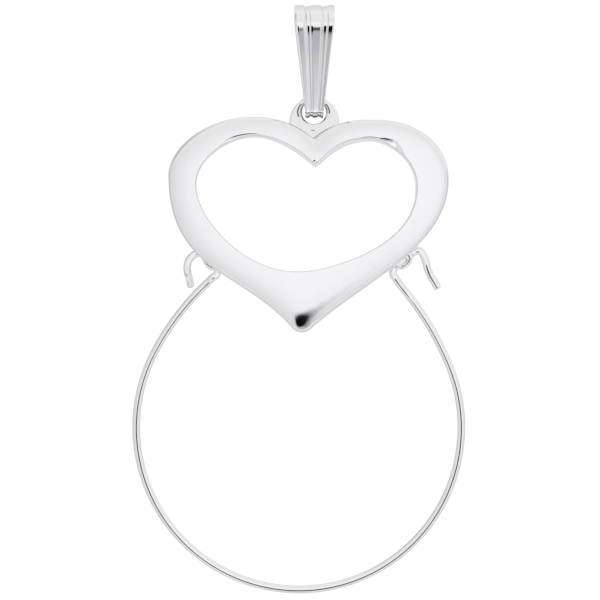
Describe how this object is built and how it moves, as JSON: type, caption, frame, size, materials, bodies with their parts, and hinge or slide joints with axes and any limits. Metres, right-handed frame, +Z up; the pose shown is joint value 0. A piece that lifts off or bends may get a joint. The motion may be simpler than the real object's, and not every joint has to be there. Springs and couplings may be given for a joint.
{
  "type": "charm holder pendant",
  "caption": "Open heart pendant on a fluted bail, with a large round hinged wire below it that holds charms",
  "frame": {"origin": "inside of the bail's top bend, where a necklace chain bears", "axes": "+Z up as it hangs, front to -Y, +X to the right of the front view"},
  "size_m": [0.029, 0.0054, 0.0511],
  "materials": {
    "polished_silver": "polished sterling silver",
    "silver_wire": "drawn and polished sterling silver wire"
  },
  "bodies": {
    "bail": {"bail": "polished_silver"},
    "heart": {"heart_frame": "polished_silver"},
    "charm_ring": {"ring_wire": "silver_wire"}
  },
  "joints": [
    {"name": "heart_swing", "type": "hinge", "parent": "bail", "child": "heart", "pos_m": [0, 0, -0.00762], "axis": [1, 0, 0], "range_deg": [-25, 25]},
    {"name": "ring_swing", "type": "hinge", "parent": "heart", "child": "charm_ring", "pos_m": [0, 0.00177, -0.02177], "axis": [1, 0, 0], "range_deg": [-12, 18]}
  ]
}
